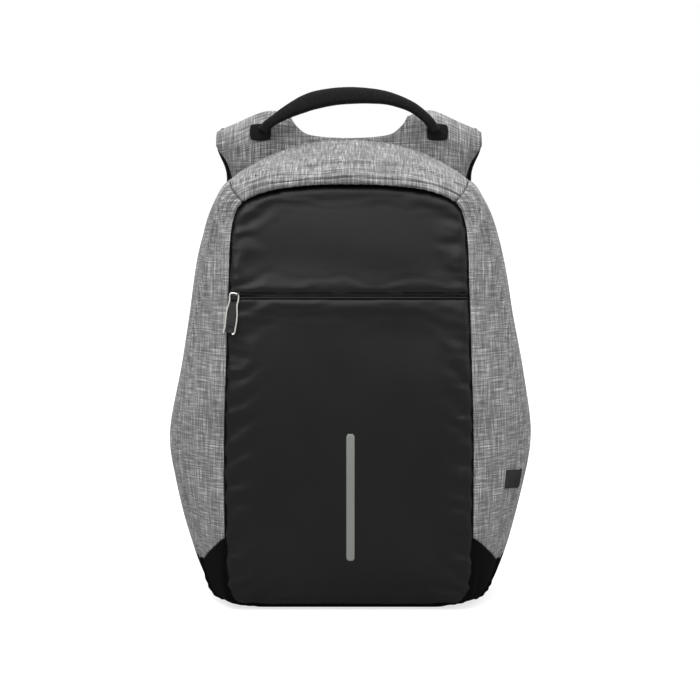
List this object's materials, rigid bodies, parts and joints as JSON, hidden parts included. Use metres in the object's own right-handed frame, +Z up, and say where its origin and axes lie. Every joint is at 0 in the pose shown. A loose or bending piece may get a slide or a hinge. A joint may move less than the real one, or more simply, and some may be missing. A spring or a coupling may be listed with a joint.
{
  "type": "anti-theft laptop backpack",
  "caption": "Standing laptop backpack with a coated front panel, melange sides, hidden rear main zip, padded yoke straps, webbing carry handle and a side USB port.",
  "frame": {"origin": "middle of the overall box, on the surface the bag stands on", "axes": "+Z up, +Y towards the wearer (back panel side), -Y the front panel, +X to the right seen from the front"},
  "size_m": [0.3404, 0.225, 0.4895],
  "materials": {
    "black_coated_cloth": "satin coated polyester, faint warm grey sheen",
    "grey_melange_cloth": "matt two-tone melange weave",
    "black_base_cloth": "tight black oxford weave",
    "air_mesh": "open black spacer mesh",
    "webbing": "ribbed black webbing",
    "lining_cloth": "thin smooth grey lining",
    "foam": "soft closed-cell foam",
    "stiffener": "matt sheet",
    "zip_tape": "matt woven tape",
    "zip_coil": "fine nylon coil",
    "bright_metal": "plated, slightly worn",
    "dark_metal": "gunmetal black paint",
    "pull_rubber": "matt black rubber",
    "buckle_plastic": "matt moulded plastic",
    "reflective": "grey-green reflective film",
    "contacts": "plated contacts"
  },
  "bodies": {
    "front_shell": {"base_board": "stiffener", "base_cup": "black_base_cloth", "base_patch": "black_base_cloth", "blank_patch": "black_base_cloth", "front_panel_lower": "black_coated_cloth", "front_panel_upper": "black_coated_cloth", "front_pocket_wall": "stiffener", "front_zip_coil": "zip_coil", "front_zip_tape": "zip_tape", "hinge_strip": "black_base_cloth", "organizer_pocket": "lining_cloth", "power_bank_pocket": "lining_cloth", "reflective_strip": "reflective", "shell_foam": "foam", "shell_lining": "lining_cloth", "shell_zip_coil": "zip_coil", "shell_zip_tape": "zip_tape", "side_panel_left": "grey_melange_cloth", "side_panel_right": "grey_melange_cloth", "top_band": "grey_melange_cloth", "usb_contacts": "contacts", "usb_port_housing": "buckle_plastic"},
    "back_panel": {"back_rim": "grey_melange_cloth", "back_cover": "air_mesh", "back_board": "stiffener", "back_foam": "foam", "back_lining": "lining_cloth", "back_zip_tape": "zip_tape", "back_zip_coil": "zip_coil", "back_hinge_flap": "black_base_cloth", "back_pad_left": "air_mesh", "back_pad_right": "air_mesh", "yoke": "grey_melange_cloth", "handle_tabs": "webbing", "laptop_sleeve": "lining_cloth", "tablet_pocket": "lining_cloth", "trolley_strap": "webbing", "strap_anchors": "black_base_cloth", "lumbar_zip_tape": "zip_tape", "lumbar_zip_coil": "zip_coil"},
    "carry_handle": {"handle_grip": "webbing"},
    "left_strap": {"strap_pad_left": "grey_melange_cloth", "strap_mesh_left": "air_mesh", "strap_buckle_left": "buckle_plastic", "strap_webbing_left": "webbing"},
    "right_strap": {"strap_pad_right": "grey_melange_cloth", "strap_mesh_right": "air_mesh", "strap_buckle_right": "buckle_plastic", "strap_webbing_right": "webbing"},
    "front_slider": {"front_zip_slider": "bright_metal"},
    "front_link": {"front_zip_link": "bright_metal"},
    "front_pull": {"front_pull_frame": "bright_metal", "front_pull_insert": "pull_rubber"},
    "main_slider_left": {"main_zip_slider_left": "dark_metal"},
    "main_pull_left": {"main_zip_pull_left": "pull_rubber"},
    "main_slider_right": {"main_zip_slider_right": "dark_metal"},
    "main_pull_right": {"main_zip_pull_right": "pull_rubber"},
    "lumbar_slider": {"lumbar_zip_slider": "dark_metal"},
    "lumbar_pull": {"lumbar_zip_pull": "pull_rubber"},
    "usb_cover": {"usb_cap": "pull_rubber"}
  },
  "joints": [
    {"name": "back_panel_opening", "type": "hinge", "parent": "front_shell", "child": "back_panel", "pos_m": [0, 0.038, 0.003], "axis": [-1, 0, 0], "range_deg": [0, 60]},
    {"name": "handle_swing", "type": "hinge", "parent": "back_panel", "child": "carry_handle", "pos_m": [0, 0.05, 0.446], "axis": [1, 0, 0], "range_deg": [0, 65]},
    {"name": "strap_swing_left", "type": "hinge", "parent": "back_panel", "child": "left_strap", "pos_m": [-0.094, 0.0952, 0.438], "axis": [0.0748, 0.09, 0.9931], "range_deg": [-15, 15]},
    {"name": "strap_swing_right", "type": "hinge", "parent": "back_panel", "child": "right_strap", "pos_m": [0.094, 0.0952, 0.438], "axis": [-0.0748, 0.09, 0.9931], "range_deg": [-15, 15]},
    {"name": "front_zip_travel", "type": "slide", "parent": "front_shell", "child": "front_slider", "axis": [1, 0, 0], "range_m": [0, 0.205]},
    {"name": "front_link_swing", "type": "hinge", "parent": "front_slider", "child": "front_link", "pos_m": [-0.1045, -0.10263, 0.29154], "axis": [0, -0.9849, 0.1729], "range_deg": [-75, 90]},
    {"name": "front_pull_lift", "type": "hinge", "parent": "front_link", "child": "front_pull", "pos_m": [-0.1045, -0.1045, 0.29186], "axis": [-0.9925, 0.0211, 0.12], "range_deg": [0, 110]},
    {"name": "main_zip_travel_left", "type": "slide", "parent": "front_shell", "child": "main_slider_left", "axis": [0, 0, 1], "range_m": [0, 0.2]},
    {"name": "main_pull_lift_left", "type": "hinge", "parent": "main_slider_left", "child": "main_pull_left", "pos_m": [-0.1547, 0.0385, 0.0785], "axis": [0, 1, 0], "range_deg": [0, 90]},
    {"name": "main_zip_travel_right", "type": "slide", "parent": "front_shell", "child": "main_slider_right", "axis": [0, 0, 1], "range_m": [0, 0.2]},
    {"name": "main_pull_lift_right", "type": "hinge", "parent": "main_slider_right", "child": "main_pull_right", "pos_m": [0.1547, 0.0385, 0.0785], "axis": [0, -1, 0], "range_deg": [0, 90]},
    {"name": "lumbar_zip_travel", "type": "slide", "parent": "back_panel", "child": "lumbar_slider", "axis": [1, 0, 0], "range_m": [0, 0.148]},
    {"name": "lumbar_pull_swing", "type": "hinge", "parent": "lumbar_slider", "child": "lumbar_pull", "pos_m": [-0.0745, 0.0585, 0.11], "axis": [0, 1, 0], "range_deg": [-85, 85]},
    {"name": "usb_cap_lift", "type": "hinge", "parent": "front_shell", "child": "usb_cover", "pos_m": [-0.16351, 0.01921, 0.17533], "axis": [0.4531, 0.8915, -0.0034], "range_deg": [0, 110]}
  ]
}
